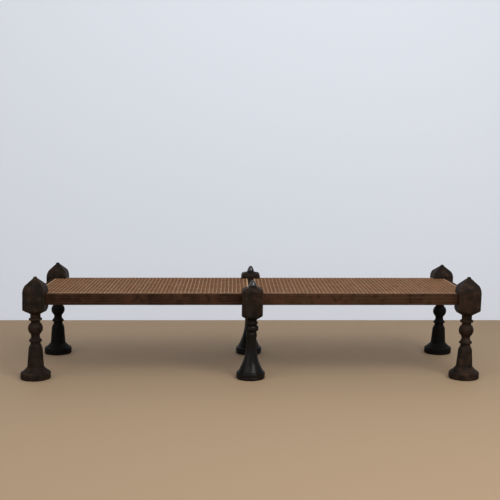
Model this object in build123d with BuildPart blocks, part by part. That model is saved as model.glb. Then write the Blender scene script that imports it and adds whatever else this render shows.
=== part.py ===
"""Six-legged takht: a low day bench on turned legs with a caned seat.

Four corner legs and two slimmer middle legs are each one piece of wood: a square head that
takes the rails, and a turned shaft and foot below it. Side rails run from head to head, an
end rail closes each end and a cross rail ties the two middle legs. Every rail is tenoned
into its leg and held by wooden pegs. Two cane panels are laced over the frame, and a cane
binder covers the line where each edge is laced down.

Millimetres. X runs along the bench, Y from front to back and Z up. The origin is on the
floor, midway between the legs.
"""

import os

from build123d import *

# ---------------------------------------------------------------- the frame as a whole
leg_span_x = 1720.0  # between the axes of the corner legs, along the bench
leg_span_y = 484.0  # between the axes of the front and back legs
rail_top = 341.0  # height of the rails' top face above the floor

# ---------------------------------------------------------------- rails
rail_width = 44.0
rail_height = 44.0
cross_rail_width = 52.0
side_rail_inset = 14.0  # from a leg's axis inwards to the side rail's centre line
rail_edge_radius = 2.0

# ---------------------------------------------------------------- tenons and pegs
tenon_thickness = 14.0
tenon_height = 32.0
long_tenon_length = 66.0  # end rails and cross rail
tenon_gap = 1.0  # left free past the end of every tenon
mortise_clearance = 0.2  # on each cheek of a tenon
peg_diameter = 9.0
peg_offset = 8.0  # a peg's height above or below the middle of its tenon
peg_reach = 54.0  # from the shoulder of a long tenon to its peg
peg_blind = 8.0  # how far a peg runs on past its tenon
peg_proud = 0.5  # how far a peg's end stands out of the wood

# ---------------------------------------------------------------- heads of the corner legs
corner_block = 87.0  # width of the square head
corner_drop = 36.0  # from the rail's underside down to the top of the neck
corner_shoulder_rise = 7.0  # from the rail's top up to the start of the rounded shoulder
corner_shoulder_height = 29.0
corner_shoulder_depth = 8.0  # how far the shoulder draws in on each side
corner_roof_height = 25.0  # the straight slopes above the shoulder
corner_roof_top = 19.0  # width left at the top of the slopes
corner_knob_diameter = 18.0
corner_knob_height = 8.0
corner_knob_bulge = 2.2  # how far the side of the knob stands out of a straight slope
knob_tip_diameter = 3.0  # every finial ends in a small worn flat
corner_underside_rise = 22.0  # from the neck up to the corners of the block
head_bulge = 1.8  # how far the shoulder of a head stands out of a straight slope

# ---------------------------------------------------------------- turning of the corner legs
corner_foot_diameter = 120.0
corner_foot_height = 30.5
corner_foot_round = 9.0  # radius that rounds the upper edge of the foot
foot_bevel = 4.0  # where the underside of a foot meets its rim
corner_flare_height = 18.0
corner_flare_top_diameter = 66.0
corner_bell_middle_diameter = 57.0
corner_bell_top_diameter = 40.0
corner_bell_shoulder_height = 30.0
corner_bell_bulge = 2.6  # how far the shoulder of the bell stands out of a straight slope
corner_groove_height = 10.0  # the plain neck between the bell and the lower ring
corner_lower_ring_diameter = 52.0
corner_upper_ring_diameter = 53.0
corner_ring_height = 8.0
corner_ring_round = 1.5  # how far the middle of a ring stands out of its two edges
corner_cove_height = 21.0
corner_cove_hollow = 3.8  # how far the cove falls inside a straight slope
corner_waist_diameter = 37.0
corner_ball_diameter = 59.0
corner_ball_rise = 24.5  # from the waist up to the middle of the ball
corner_ball_drop = 32.5  # from the upper ring down to the middle of the ball
corner_neck_diameter = 40.5
corner_neck_height = 17.0

# ---------------------------------------------------------------- heads of the middle legs
middle_block = 83.0
middle_drop = 59.5
middle_shoulder_rise = 6.0
middle_shoulder_height = 15.0
middle_shoulder_depth = 5.0
middle_roof_height = 7.0
middle_roof_top = 30.0
middle_bud_base_diameter = 30.0
middle_bud_diameter = 31.0
middle_bud_height = 27.0
middle_bud_belly = 5.0  # from the base of the bud up to its widest
middle_bud_shoulder_height = 15.0
middle_bud_shoulder_diameter = 21.5
middle_bud_bulge = 0.8  # how far the side above its shoulder stands out of a straight slope
middle_underside_rise = 25.0

# ---------------------------------------------------------------- turning of the middle legs
middle_foot_diameter = 115.0
middle_foot_height = 30.0
middle_foot_round = 7.0  # radius that rounds the upper edge of the foot
middle_groove_height = 12.0  # from the floor up to the groove round the foot
middle_groove_depth = 1.5
middle_flare_height = 115.0  # the hollow sweep from the foot up into the shaft
middle_shaft_diameter = 38.5
middle_bead_diameters = (44.0, 54.5, 47.5)  # from the lowest bead to the highest
middle_bead_pitch = 25.0
middle_bead_height = 14.0

# ---------------------------------------------------------------- cane seat
cane_edge_thickness = 1.0  # where the strands go down into their holes, under the binder
cane_edge_inset = 19.0  # bare wood between a rail's outer face and the binder
cross_rail_bare_width = 28.0  # bare wood left between the two panels
cane_leg_gap = 1.0  # between the cane and the heads of the legs
binder_width = 6.0
binder_thickness = 1.5  # the binder fills the edge up level with the woven cane
# The mesh of the caning is far finer than this: an even grid of larger openings stands for it.
mesh_columns = 12
mesh_rows = 6
mesh_opening = 34.0

cut_spare = 1.0  # how far a cut is run on past what it cuts

# ---------------------------------------------------------------- places worked out from the sizes
rail_bottom = rail_top - rail_height
rail_middle = rail_top - rail_height / 2
corner_x = leg_span_x / 2
leg_y = leg_span_y / 2
side_rail_y = leg_y - side_rail_inset
corner_inner_x = corner_x - corner_block / 2
corner_inner_y = leg_y - corner_block / 2
middle_inner_y = leg_y - middle_block / 2
corner_short_tenon = corner_block / 2 - tenon_thickness / 2 - tenon_gap
middle_short_tenon = middle_block / 2 - tenon_thickness / 2 - tenon_gap
mortise_thickness = tenon_thickness + 2 * mortise_clearance
mortise_height = tenon_height + 2 * mortise_clearance
high_peg_z = rail_middle + peg_offset
low_peg_z = rail_middle - peg_offset

sides = {"front": -1, "back": 1}
ends = {"left": -1, "right": 1}

os.makedirs("parts", exist_ok=True)


def save(piece, name):
    """Label a finished piece and write it as its own STEP file."""
    piece.label = name
    export_step(piece, f"parts/{name}.step")


# ---------------------------------------------------------------- corner leg: turned shaft
# The foot and bell are counted up from the floor and the rings down from the neck, so the
# bell is what grows or shrinks when the seat is set higher or lower.
corner_neck_top = rail_bottom - corner_drop
corner_ring_top = corner_neck_top - corner_neck_height
corner_ball_top = corner_ring_top - corner_ring_height
corner_ball_centre = corner_ball_top - corner_ball_drop
corner_waist_z = corner_ball_centre - corner_ball_rise
corner_lower_ring_top = corner_waist_z - corner_cove_height
corner_bell_top = corner_lower_ring_top - corner_ring_height - corner_groove_height
corner_bell_base = corner_foot_height + corner_flare_height
corner_bell_shoulder = corner_bell_top - corner_bell_shoulder_height
foot_radius = corner_foot_diameter / 2
waist_radius = corner_waist_diameter / 2
ball_radius = corner_ball_diameter / 2
ball_end = (ball_radius**2 - waist_radius**2) ** 0.5  # height where the ball meets the waist
groove_radius = corner_bell_top_diameter / 2
lower_ring_edge = corner_lower_ring_diameter / 2 - corner_ring_round
upper_ring_edge = corner_upper_ring_diameter / 2 - corner_ring_round
lower_ring_bottom = corner_lower_ring_top - corner_ring_height

with BuildPart() as corner_shaft:
    with BuildSketch(Plane.XZ):
        with BuildLine():
            Polyline(
                (0, corner_neck_top),
                (0, 0),
                (foot_radius - foot_bevel, 0),
                (foot_radius, foot_bevel),
                (foot_radius, corner_foot_height - corner_foot_round),
            )
            TangentArc(
                (foot_radius, corner_foot_height - corner_foot_round),
                (foot_radius - corner_foot_round, corner_foot_height),
                tangent=(0, 1),
            )
            Polyline(
                (foot_radius - corner_foot_round, corner_foot_height),
                (corner_flare_top_diameter / 2, corner_bell_base),
                (corner_bell_middle_diameter / 2, corner_bell_shoulder),
            )
            SagittaArc(
                (corner_bell_middle_diameter / 2, corner_bell_shoulder),
                (groove_radius, corner_bell_top),
                -corner_bell_bulge,
            )
            Polyline(
                (groove_radius, corner_bell_top),
                (groove_radius, lower_ring_bottom),
                (lower_ring_edge, lower_ring_bottom),
            )
            SagittaArc(
                (lower_ring_edge, lower_ring_bottom),
                (lower_ring_edge, corner_lower_ring_top),
                -corner_ring_round,
            )
            SagittaArc(
                (lower_ring_edge, corner_lower_ring_top),
                (waist_radius, corner_waist_z),
                corner_cove_hollow,
            )
            Line(
                (waist_radius, corner_waist_z),
                (waist_radius, corner_ball_centre - ball_end),
            )
            ThreePointArc(
                (waist_radius, corner_ball_centre - ball_end),
                (ball_radius, corner_ball_centre),
                (waist_radius, corner_ball_centre + ball_end),
            )
            Polyline(
                (waist_radius, corner_ball_centre + ball_end),
                (waist_radius, corner_ball_top),
                (upper_ring_edge, corner_ball_top),
            )
            SagittaArc(
                (upper_ring_edge, corner_ball_top),
                (upper_ring_edge, corner_ring_top),
                -corner_ring_round,
            )
            Polyline(
                (upper_ring_edge, corner_ring_top),
                (corner_neck_diameter / 2, corner_ring_top),
                (corner_neck_diameter / 2, corner_neck_top),
                (0, corner_neck_top),
            )
        make_face()
    revolve(axis=Axis.Z)


# ---------------------------------------------------------------- middle leg: turned shaft
# A foot that sweeps up into a slim shaft, then a string of beads under the head.
middle_neck_top = rail_bottom - middle_drop
middle_shaft_top = middle_neck_top - len(middle_bead_diameters) * middle_bead_pitch
middle_foot_radius = middle_foot_diameter / 2
middle_foot_rim = middle_foot_height - middle_foot_round
shaft_radius = middle_shaft_diameter / 2
middle_flare_top = middle_foot_height + middle_flare_height

with BuildPart() as middle_shaft:
    with BuildSketch(Plane.XZ):
        with BuildLine():
            Polyline(
                (shaft_radius, middle_flare_top),
                (shaft_radius, middle_neck_top),
                (0, middle_neck_top),
                (0, 0),
                (middle_foot_radius - foot_bevel, 0),
                (middle_foot_radius, foot_bevel),
                (middle_foot_radius, middle_groove_height - middle_groove_depth),
                (middle_foot_radius - middle_groove_depth, middle_groove_height),
                (middle_foot_radius, middle_groove_height + middle_groove_depth),
                (middle_foot_radius, middle_foot_rim),
            )
            TangentArc(
                (middle_foot_radius, middle_foot_rim),
                (middle_foot_radius - middle_foot_round, middle_foot_height),
                tangent=(0, 1),
            )
            TangentArc(
                (shaft_radius, middle_flare_top),
                (middle_foot_radius - middle_foot_round, middle_foot_height),
                tangent=(0, -1),
            )
        make_face()
    revolve(axis=Axis.Z)
    for count, diameter in enumerate(middle_bead_diameters):
        bead_z = middle_shaft_top + (count + 0.5) * middle_bead_pitch
        low, high = bead_z - middle_bead_height / 2, bead_z + middle_bead_height / 2
        with BuildSketch(Plane.XZ):
            with BuildLine():
                Polyline((shaft_radius, low), (0, low), (0, high), (shaft_radius, high))
                ThreePointArc((shaft_radius, low), (diameter / 2, bead_z), (shaft_radius, high))
            make_face()
        revolve(axis=Axis.Z)


# ---------------------------------------------------------------- heads of the legs
def square_head(block, neck_radius, neck_top, underside_rise, shoulder_z, shoulder, roof):
    """A square head under a four-sided roof, with its underside turned down to the neck.

    One outline is run both along X and along Y, and what the two share is the head, so its
    four curved faces meet in mitres. shoulder is its height and how far it draws in, and
    roof is its height and the width of its top.
    """
    half = block / 2
    shoulder_height, shoulder_depth = shoulder
    roof_height, roof_top = roof
    eaves_z = shoulder_z + shoulder_height
    reach = half * 2**0.5 + cut_spare
    with BuildPart() as head:
        with BuildSketch(Plane.XZ) as outline:
            with BuildLine():
                Polyline(
                    (0, eaves_z + roof_height),
                    (0, neck_top),
                    (half, neck_top),
                    (half, shoulder_z),
                )
                SagittaArc(
                    (half, shoulder_z),
                    (half - shoulder_depth, eaves_z),
                    -head_bulge,
                )
                Polyline(
                    (half - shoulder_depth, eaves_z),
                    (roof_top / 2, eaves_z + roof_height),
                    (0, eaves_z + roof_height),
                )
            make_face()
            mirror(about=Plane.YZ)
        extrude(amount=half, both=True)
        with BuildSketch(Plane.YZ):
            add(outline.sketch_local)
        extrude(amount=half, both=True, mode=Mode.INTERSECT)
        with BuildSketch(Plane.XZ):
            with BuildLine():
                Polyline(
                    (neck_radius, neck_top),
                    (reach, neck_top + underside_rise),
                    (reach, neck_top - cut_spare),
                    (neck_radius, neck_top - cut_spare),
                    (neck_radius, neck_top),
                )
            make_face()
        revolve(axis=Axis.Z, mode=Mode.SUBTRACT)
    return head.part


corner_shoulder_z = rail_top + corner_shoulder_rise
corner_head = square_head(
    corner_block,
    corner_neck_diameter / 2,
    corner_neck_top,
    corner_underside_rise,
    corner_shoulder_z,
    (corner_shoulder_height, corner_shoulder_depth),
    (corner_roof_height, corner_roof_top),
)
middle_shoulder_z = rail_top + middle_shoulder_rise
middle_head = square_head(
    middle_block,
    shaft_radius,
    middle_neck_top,
    middle_underside_rise,
    middle_shoulder_z,
    (middle_shoulder_height, middle_shoulder_depth),
    (middle_roof_height, middle_roof_top),
)

tip_radius = knob_tip_diameter / 2
corner_roof_z = corner_shoulder_z + corner_shoulder_height + corner_roof_height
knob_radius = corner_knob_diameter / 2
knob_top = corner_roof_z + corner_knob_height

# The knob is a low dome on the peak of the roof.
with BuildPart() as corner_knob:
    with BuildSketch(Plane.XZ):
        with BuildLine():
            Polyline(
                (tip_radius, knob_top),
                (0, knob_top),
                (0, corner_roof_z),
                (knob_radius, corner_roof_z),
            )
            SagittaArc(
                (knob_radius, corner_roof_z), (tip_radius, knob_top), -corner_knob_bulge
            )
        make_face()
    revolve(axis=Axis.Z)

middle_roof_z = middle_shoulder_z + middle_shoulder_height + middle_roof_height
bud_top = middle_roof_z + middle_bud_height
bud_base_radius = middle_bud_base_diameter / 2
bud_shoulder = (middle_bud_shoulder_diameter / 2, middle_roof_z + middle_bud_shoulder_height)

# A turned bud that swells a little above its base and closes in a rounded point.
with BuildPart() as middle_bud:
    with BuildSketch(Plane.XZ):
        with BuildLine():
            SagittaArc(bud_shoulder, (tip_radius, bud_top), -middle_bud_bulge)
            Polyline(
                (tip_radius, bud_top),
                (0, bud_top),
                (0, middle_roof_z),
                (bud_base_radius, middle_roof_z),
            )
            ThreePointArc(
                (bud_base_radius, middle_roof_z),
                (middle_bud_diameter / 2, middle_roof_z + middle_bud_belly),
                bud_shoulder,
            )
        make_face()
    revolve(axis=Axis.Z)


# ---------------------------------------------------------------- pegs
def peg(inner_end, outer_end):
    """A round peg from its blind end to its outer end, both given as points."""
    run = Vector(outer_end) - Vector(inner_end)
    with BuildPart() as pin:
        with BuildSketch(Plane(origin=inner_end, z_dir=run.normalized())):
            Circle(peg_diameter / 2)
        extrude(amount=run.length)
    return pin.part


# Pegs of the back right corner leg and of the back middle leg. The other legs mirror them.
side_peg_inner_y = side_rail_y - tenon_thickness / 2 - peg_blind
cross_peg_inner_x = -tenon_thickness / 2 - peg_blind
corner_outer_y = leg_y + corner_block / 2 + peg_proud
corner_outer_x = corner_x + corner_block / 2 + peg_proud
middle_outer_y = leg_y + middle_block / 2 + peg_proud
middle_outer_x = middle_block / 2 + peg_proud
corner_peg_x = corner_inner_x + corner_short_tenon / 2
middle_peg_x = middle_block / 2 - middle_short_tenon / 2
end_peg_y = corner_inner_y + peg_reach
cross_peg_y = middle_inner_y + peg_reach

with BuildPart() as corner_pegs:
    add(
        peg(
            (corner_peg_x, side_peg_inner_y, high_peg_z),
            (corner_peg_x, corner_outer_y, high_peg_z),
        )
    )
    add(
        peg(
            (corner_x + cross_peg_inner_x, end_peg_y, low_peg_z),
            (corner_outer_x, end_peg_y, low_peg_z),
        )
    )

with BuildPart() as middle_pegs:
    for peg_x in (-middle_peg_x, middle_peg_x):
        add(peg((peg_x, side_peg_inner_y, high_peg_z), (peg_x, middle_outer_y, high_peg_z)))
    add(
        peg(
            (cross_peg_inner_x, cross_peg_y, low_peg_z),
            (middle_outer_x, cross_peg_y, low_peg_z),
        )
    )


# ---------------------------------------------------------------- legs
def mortise_along_x(shoulder_x, length, y):
    """A pocket for a tenon that enters at shoulder_x and runs along X by length, signed."""
    with BuildPart() as pocket:
        with Locations((shoulder_x + length / 2, y, rail_middle)):
            Box(abs(length), mortise_thickness, mortise_height)
    return pocket.part


def mortise_along_y(shoulder_y, length, x):
    """A pocket for a tenon that enters at shoulder_y and runs along Y by length."""
    with BuildPart() as pocket:
        with Locations((x, shoulder_y + length / 2, rail_middle)):
            Box(mortise_thickness, length, mortise_height)
    return pocket.part


with BuildPart() as corner_leg:
    with Locations((corner_x, leg_y, 0)):
        add([corner_shaft.part, corner_head, corner_knob])
    add(
        [
            mortise_along_x(corner_inner_x, corner_short_tenon + tenon_gap, side_rail_y),
            mortise_along_y(corner_inner_y, long_tenon_length + tenon_gap, corner_x),
            corner_pegs.part,
        ],
        mode=Mode.SUBTRACT,
    )

with BuildPart() as middle_leg:
    with Locations((0, leg_y, 0)):
        add([middle_shaft.part, middle_head, middle_bud])
    add(
        [
            mortise_along_x(-middle_block / 2, middle_short_tenon + tenon_gap, side_rail_y),
            mortise_along_x(middle_block / 2, -middle_short_tenon - tenon_gap, side_rail_y),
            mortise_along_y(middle_inner_y, long_tenon_length + tenon_gap, 0),
            middle_pegs.part,
        ],
        mode=Mode.SUBTRACT,
    )


# ---------------------------------------------------------------- rails
side_rail_length = corner_inner_x - middle_block / 2
with BuildPart() as side_rail:
    with Locations((middle_block / 2 + side_rail_length / 2, side_rail_y, rail_middle)):
        Box(side_rail_length, rail_width, rail_height)
    fillet(side_rail.edges().filter_by(Axis.X), radius=rail_edge_radius)
    with Locations((corner_inner_x + corner_short_tenon / 2, side_rail_y, rail_middle)):
        Box(corner_short_tenon, tenon_thickness, tenon_height)
    with Locations((middle_block / 2 - middle_short_tenon / 2, side_rail_y, rail_middle)):
        Box(middle_short_tenon, tenon_thickness, tenon_height)
    add([corner_pegs.part, middle_pegs.part], mode=Mode.SUBTRACT)


def across_rail(x, width, inner_y, pegs):
    """A rail along Y between the inner faces of two heads, with a long tenon at each end."""
    with BuildPart() as rail:
        with Locations((x, 0, rail_middle)):
            Box(width, 2 * inner_y, rail_height)
        fillet(rail.edges().filter_by(Axis.Y), radius=rail_edge_radius)
        with Locations((x, 0, rail_middle)):
            Box(tenon_thickness, 2 * (inner_y + long_tenon_length), tenon_height)
        add(pegs, mode=Mode.SUBTRACT)
        add(mirror(pegs, about=Plane.XZ, mode=Mode.PRIVATE), mode=Mode.SUBTRACT)
    return rail.part


end_rail = across_rail(corner_x, rail_width, corner_inner_y, corner_pegs.part)
cross_rail = across_rail(0, cross_rail_width, middle_inner_y, middle_pegs.part)

# ---------------------------------------------------------------- cane seat of the right half
panel_inner_x = cross_rail_bare_width / 2
panel_outer_x = corner_x + rail_width / 2 - cane_edge_inset
panel_y = side_rail_y + rail_width / 2 - cane_edge_inset
binder_bed = rail_top + cane_edge_thickness
cane_top = binder_bed + binder_thickness
side_binder_start = middle_block / 2 + cane_leg_gap
side_binder_end = corner_inner_x - cane_leg_gap
side_binder_middle = (side_binder_start + side_binder_end) / 2
end_binder_reach = corner_inner_y - cane_leg_gap
cross_binder_reach = middle_inner_y - cane_leg_gap
mesh_inner_x = cross_rail_width / 2
mesh_span_x = corner_x - rail_width / 2 - mesh_inner_x
mesh_span_y = 2 * (side_rail_y - rail_width / 2)
side_binder_y = panel_y - binder_width / 2
end_binder_x = panel_outer_x - binder_width / 2
cross_binder_x = panel_inner_x + binder_width / 2

with BuildPart() as cane_panel:
    with BuildSketch(Plane.XY.offset(rail_top)):
        with Locations(((panel_inner_x + panel_outer_x) / 2, 0)):
            Rectangle(panel_outer_x - panel_inner_x, 2 * panel_y)
        with Locations((corner_x, -leg_y), (corner_x, leg_y)):
            Rectangle(
                corner_block + 2 * cane_leg_gap,
                corner_block + 2 * cane_leg_gap,
                mode=Mode.SUBTRACT,
            )
        with Locations((0, -leg_y), (0, leg_y)):
            Rectangle(
                middle_block + 2 * cane_leg_gap,
                middle_block + 2 * cane_leg_gap,
                mode=Mode.SUBTRACT,
            )
        with Locations((mesh_inner_x + mesh_span_x / 2, 0)):
            with GridLocations(
                mesh_span_x / mesh_columns, mesh_span_y / mesh_rows, mesh_columns, mesh_rows
            ):
                Rectangle(mesh_opening, mesh_opening, mode=Mode.SUBTRACT)
    extrude(amount=cane_top - rail_top)
    with BuildSketch(Plane.XY.offset(binder_bed)):
        with Locations((side_binder_middle, -side_binder_y), (side_binder_middle, side_binder_y)):
            Rectangle(side_binder_end - side_binder_start, binder_width)
        with Locations((end_binder_x, 0)):
            Rectangle(binder_width, 2 * end_binder_reach)
        with Locations((cross_binder_x, 0)):
            Rectangle(binder_width, 2 * cross_binder_reach)
    extrude(amount=binder_thickness, mode=Mode.SUBTRACT)


def binder(plane, length):
    """A strip with a rounded top, run both ways from the middle of its own plane."""
    with BuildPart() as strip:
        with BuildSketch(plane):
            with BuildLine():
                Line((-binder_width / 2, 0), (binder_width / 2, 0))
                ThreePointArc(
                    (-binder_width / 2, 0), (0, binder_thickness), (binder_width / 2, 0)
                )
            make_face()
        extrude(amount=length / 2, both=True)
    return strip.part


side_binder = binder(
    Plane((side_binder_middle, side_binder_y, binder_bed), (0, 1, 0), (1, 0, 0)),
    side_binder_end - side_binder_start,
)
end_binder = binder(
    Plane((end_binder_x, 0, binder_bed), (1, 0, 0), (0, -1, 0)), 2 * end_binder_reach
)
cross_binder = binder(
    Plane((cross_binder_x, 0, binder_bed), (1, 0, 0), (0, -1, 0)), 2 * cross_binder_reach
)


# ---------------------------------------------------------------- every piece in its place
def mirrored(piece, end_sign, side_sign):
    """A piece of the back right quarter, carried to the quarter that the signs name."""
    if end_sign < 0:
        piece = mirror(piece, about=Plane.YZ)
    if side_sign < 0:
        piece = mirror(piece, about=Plane.XZ)
    return piece


for side, side_sign in sides.items():
    save(mirrored(middle_leg.part, 1, side_sign), f"middle_leg_{side}")
    save(mirrored(middle_pegs.part, 1, side_sign), f"leg_pegs_{side}_middle")
    for end, end_sign in ends.items():
        quarter = (end_sign, side_sign)
        save(mirrored(corner_leg.part, *quarter), f"corner_leg_{side}_{end}")
        save(mirrored(corner_pegs.part, *quarter), f"leg_pegs_{side}_{end}")
        save(mirrored(side_rail.part, *quarter), f"side_rail_{side}_{end}")
        save(mirrored(side_binder, *quarter), f"binder_{side}_{end}")

save(cross_rail, "cross_rail")
for end, end_sign in ends.items():
    save(mirrored(end_rail, end_sign, 1), f"end_rail_{end}")
    save(mirrored(cane_panel.part, end_sign, 1), f"cane_panel_{end}")
    save(mirrored(end_binder, end_sign, 1), f"binder_end_{end}")
    save(mirrored(cross_binder, end_sign, 1), f"binder_cross_rail_{end}")
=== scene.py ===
"""Finishes a six-legged takht: worn turned legs, planed rails, pegs and a seat of woven cane.

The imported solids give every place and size. Each operator reads them from the frame, builds
its own pieces over them, in metres, and gives them their finish.
"""

import math
from itertools import groupby

import bpy
import numpy as np
from mathutils import Matrix, Vector, noise
from mathutils.bvhtree import BVHTree


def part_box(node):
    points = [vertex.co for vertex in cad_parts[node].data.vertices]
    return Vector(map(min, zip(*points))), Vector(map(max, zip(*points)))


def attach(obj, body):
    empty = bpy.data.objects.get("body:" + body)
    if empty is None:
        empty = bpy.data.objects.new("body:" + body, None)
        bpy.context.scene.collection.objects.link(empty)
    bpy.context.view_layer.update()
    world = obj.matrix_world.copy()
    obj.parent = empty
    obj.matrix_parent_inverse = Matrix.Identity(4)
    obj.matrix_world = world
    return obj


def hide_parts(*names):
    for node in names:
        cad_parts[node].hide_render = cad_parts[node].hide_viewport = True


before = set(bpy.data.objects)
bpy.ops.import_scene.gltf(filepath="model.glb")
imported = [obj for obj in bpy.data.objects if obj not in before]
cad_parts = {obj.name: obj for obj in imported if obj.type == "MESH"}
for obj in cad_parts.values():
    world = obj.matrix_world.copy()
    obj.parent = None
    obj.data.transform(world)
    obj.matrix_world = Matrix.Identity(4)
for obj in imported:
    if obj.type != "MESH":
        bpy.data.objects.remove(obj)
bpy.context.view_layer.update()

bl_info = {
    "name": "Takht Day Bench",
    "version": (1, 0, 0),
    "blender": (4, 5, 0),
    "location": "View3D > Sidebar > Takht",
    "description": "Builds the worn wood and woven cane of a six-legged day bench",
    "category": "Object",
}

ENDS = {"left": -1, "right": 1}
SIDES = ("front", "back")
MAP_NAME = "OFBake"  # the map that the surfaces are baked through
UP = Vector((0, 0, 1))


# ---------------------------------------------------------------- settings
def linear(red, green, blue):
    """A colour given as 0 to 255 on a screen, as the linear values that a shader takes."""
    shares = (channel / 255 for channel in (red, green, blue))
    return tuple(s / 12.92 if s <= 0.04045 else ((s + 0.055) / 1.055) ** 2.4 for s in shares)


def number(name, description, default, **more):
    return bpy.props.FloatProperty(name=name, description=description, default=default, **more)


def numbers(name, description, default, **more):
    return bpy.props.FloatVectorProperty(
        name=name, description=description, default=default, **more
    )


def length(name, description, default):
    return number(name, description, default, unit="LENGTH", precision=5)


def lengths(name, description, default):
    return numbers(name, description, default, unit="LENGTH", precision=5)


def angle(name, description, degrees):
    return number(name, description, math.radians(degrees), subtype="ANGLE")


def factor(name, description, default, least=0, most=1):
    return number(name, description, default, min=least, max=most, subtype="FACTOR")


def colour(name, description, default):
    return numbers(name, description, default, subtype="COLOR", min=0, max=1)


def leg_drops(name, default):
    """How far the parts of one hand-turned corner leg sit below the even pattern."""
    description = "Drop of the ball and rings, of the foot of the head, and of the tip"
    return lengths(name, description, default)


class TakhtLegs(bpy.types.PropertyGroup):
    reading_step: length("Reading step", "Height between readings of the solid", 0.00025)
    row_gap: length("Row gap", "Widest gap between two rows of the mesh", 0.0045)
    wear: length("Edge wear", "How far turned edges are rubbed round", 0.0008)
    arris_wear: length("Arris wear", "How far the corners of a head are rubbed back", 0.0013)
    hollow_depth: length("Hand marks", "Depth of the slow unevenness of the wood", 0.00035)
    hollow_size: length("Hand mark size", "Size of the slow unevenness of the wood", 0.035)
    chip_depth: length("Chips", "Depth of the knocks along the corners of a head", 0.0016)
    chip_size: length("Chip size", "Size of the knocks along the corners of a head", 0.009)
    lean: length("Lean", "How far the feet have racked to the left of the heads", 0.0072)
    lean_spread: length("Lean spread", "How much more the right legs lean, and the left less", 0.0026)
    bead_heights: lengths(
        "Bead heights", "Heights of a middle leg's beads, from the lowest up", (0.021, 0.024, 0.014)
    )
    bead_rise: length("Bead rise", "How far the middle bead sits above even spacing", 0.003)
    bud_height: length("Bud height", "Height of the bud on a middle leg", 0.027)
    bud_width: length("Bud width", "Width of the bud on a middle leg", 0.031)
    front_right_drop: leg_drops("Front right drop", (0.0085, 0.0035, 0))
    back_right_drop: leg_drops("Back right drop", (0.0125, 0.003, 0.0085))
    back_left_drop: leg_drops("Back left drop", (0.005, 0.002, 0))
    ring_spacing: length("Ring spacing", "Distance between two growth rings", 0.006)
    ring_contrast: factor("Ring contrast", "How clearly the growth rings show", 0.45)
    roughness: factor("Roughness", "Roughness of the rubbed polish", 0.48)
    gloss: factor("Gloss", "Strength of the plain wood's shine", 0.07)
    dark: colour("Stain", "The stain where it lies thickest", linear(17, 15, 12))
    light: colour("Wood", "The stained wood between the dark grain", linear(42, 34, 27))
    warm: colour("Warm stain", "Where the stain has gone brown", linear(52, 35, 25))
    worn: colour("Worn wood", "Rubbed corners and rims", linear(78, 57, 41))


class TakhtRails(bpy.types.PropertyGroup):
    edge_radius: length("Edge radius", "Rounding of the long edges", 0.0022)
    embed: length("Embed", "How far a shoulder runs into the head it meets", 0.0012)
    tenon_thickness: length("Tenon thickness", "Thickness of every tenon", 0.014)
    tenon_height: length("Tenon height", "Height of every tenon", 0.032)
    tenon_radius: length("Tenon radius", "Rounding of a tenon's edges", 0.001)
    unevenness: length("Unevenness", "Depth of the planing marks", 0.0003)
    planing_size: length("Planing size", "Size of the planing marks across the rail", 0.02)
    chip_depth: length("Chips", "Depth of the knocks along the edges", 0.0018)
    chip_size: length("Chip size", "Size of the knocks along the edges", 0.012)
    station_gap: length("Station gap", "Gap between two sections of the mesh", 0.008)
    ring_spacing: length("Ring spacing", "Distance between two growth rings", 0.009)
    ring_contrast: factor("Ring contrast", "How clearly the growth rings show", 0.3)
    roughness: factor("Roughness", "Roughness of the rubbed polish", 0.62)
    gloss: factor("Gloss", "Strength of the plain wood's shine", 0.02)
    dark: colour("Stain", "The stain where it lies thickest", linear(36, 25, 17))
    light: colour("Wood", "The stained wood between the dark grain", linear(77, 54, 40))
    warm: colour("Warm stain", "Where the stain has gone brown", linear(80, 52, 38))
    worn: colour("Worn wood", "Rubbed edges", linear(78, 54, 37))


class TakhtCane(bpy.types.PropertyGroup):
    pitch: length("Hole pitch", "Distance between two lacing holes", 0.0159)
    pair_share: factor("Pair share", "Gap between a pair's strands, in pitches", 0.2, 0.15, 0.5)
    width: length("Strand width", "Width of a strand of cane", 0.0028)
    thickness: length("Strand thickness", "Thickness of a strand of cane", 0.0009)
    layer: length("Layer", "Height between two strands where they cross", 0.0008)
    drift: length("Drift", "How far hand weaving strays from the even pattern", 0.0005)
    dip: length("Dip", "How far a strand's end goes down its hole", 0.003)
    stitch_width: length("Stitch width", "Width of the strand that ties the binder down", 0.0022)
    sway: length("Binder sway", "How far the binder strays from a straight line", 0.0006)
    slip: length("Loop slip", "How far a lacing loop strays from its line", 0.0004)
    # Painted shade with some dirt: the colour toward which a strand is darkened where it runs low
    # beneath others
    grime_and_shade: colour("Grime", "Dirt low between the strands", linear(34, 19, 10))
    shadow: colour("Shaded cane", "The cane's darker streaks", linear(74, 44, 24))
    body: colour("Cane", "The cane's usual colour", linear(98, 62, 36))
    sheen: colour("Pale cane", "The cane's palest streaks", linear(134, 94, 60))
    # Paler colours for the front-to-back strands, which lie on top: partly wear from use, partly
    # painted light where they catch the light
    handled_lit: colour("Handled cane", "Strands kept clean by use", linear(176, 132, 92))
    polished_lit: colour("Polished cane", "Their palest streaks", linear(202, 168, 130))
    binder: colour("Binder", "The flat strip over the holes", linear(178, 140, 102))
    pale_binder: colour("Pale binder", "The strip's palest streaks", linear(204, 172, 136))


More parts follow.
